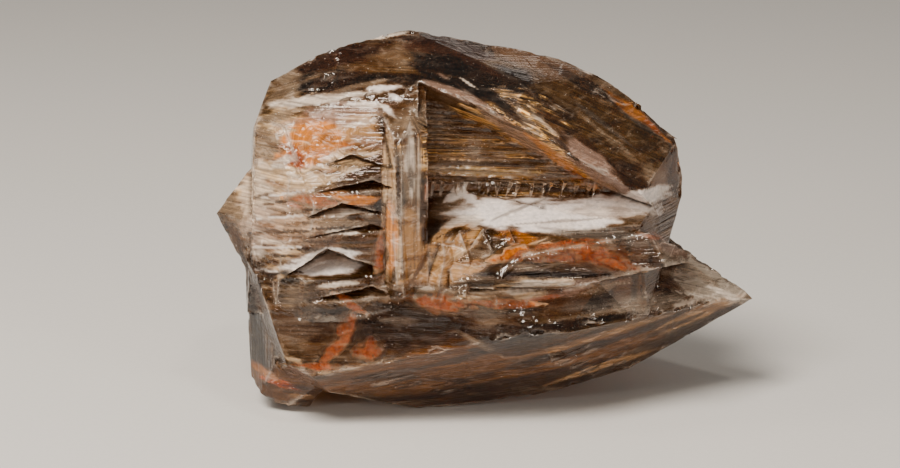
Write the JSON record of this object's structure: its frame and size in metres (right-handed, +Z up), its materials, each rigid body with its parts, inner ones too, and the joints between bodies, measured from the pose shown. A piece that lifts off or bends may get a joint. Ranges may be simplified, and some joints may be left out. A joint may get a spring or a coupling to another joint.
{
  "type": "elestial quartz",
  "caption": "Smoky elestial quartz crystal lying on its side: stepped parallel growth, an etched hollow with a striated wall, and a pointed end.",
  "frame": {"origin": "on the surface that the crystal rests on, under the middle of its box", "axes": "+X towards the pointed end, -Y towards the side with the striated hollow, +Z up"},
  "size_m": [0.1098, 0.0632, 0.0765],
  "materials": {
    "smoky_quartz": "clear smoky brown with bright flat faces, frosted growth steps and orange iron films inside"
  },
  "bodies": {
    "root": {"elestial_quartz": "smoky_quartz"}
  },
  "joints": []
}
